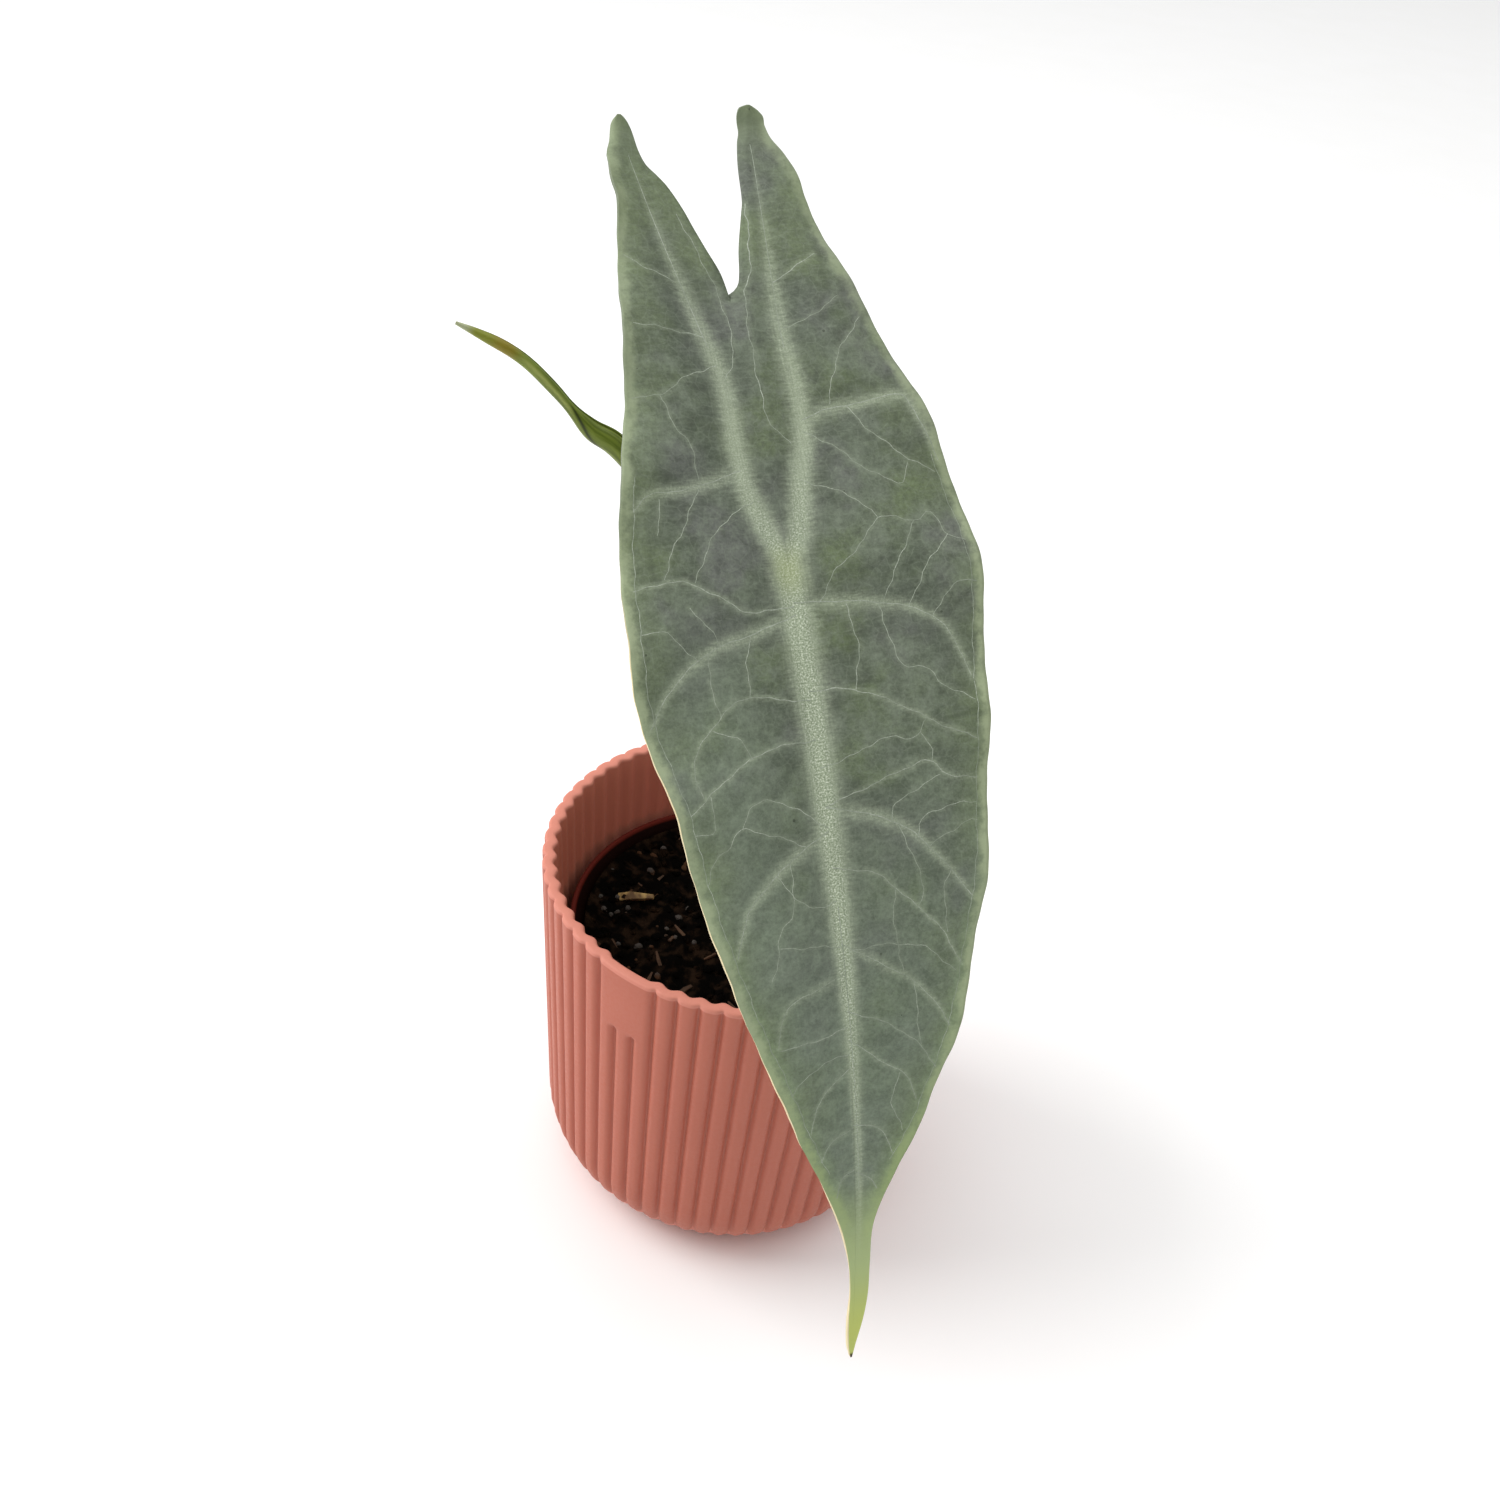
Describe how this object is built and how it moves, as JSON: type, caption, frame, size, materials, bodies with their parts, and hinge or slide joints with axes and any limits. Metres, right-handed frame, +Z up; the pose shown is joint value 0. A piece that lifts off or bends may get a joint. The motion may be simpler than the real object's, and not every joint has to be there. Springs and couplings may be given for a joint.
{
  "type": "potted alocasia longiloba",
  "caption": "Young alocasia with a hanging silver arrow-shaped leaf and a rolled new leaf, in a nursery pot inside a ribbed pink cover pot.",
  "frame": {"origin": "middle of the cover pot's flat base, on the surface it stands on", "axes": "+Z up along the pot's axis, -Y towards the side where the big leaf hangs, +X to the right as seen from there"},
  "size_m": [0.1053, 0.1454, 0.2282],
  "materials": {
    "pink_plastic": "satin moulded plastic, dusty pink",
    "brown_plastic": "thin brown-red plastic",
    "soil": "damp dark potting mix with bark and perlite",
    "rootstock": "rough brown rind",
    "stalk_green": "smooth fresh stalk",
    "silver_leaf": "silvery grey-green leaf, soft satin",
    "new_leaf_green": "fresh olive green leaf, satin"
  },
  "bodies": {
    "root": {"cover_pot": "pink_plastic", "nursery_pot": "brown_plastic", "potting_soil": "soil", "rootstock": "rootstock", "big_leaf_stalk": "stalk_green", "big_leaf_blade": "silver_leaf", "new_leaf_stalk": "stalk_green", "new_leaf_blade": "new_leaf_green"}
  },
  "joints": []
}
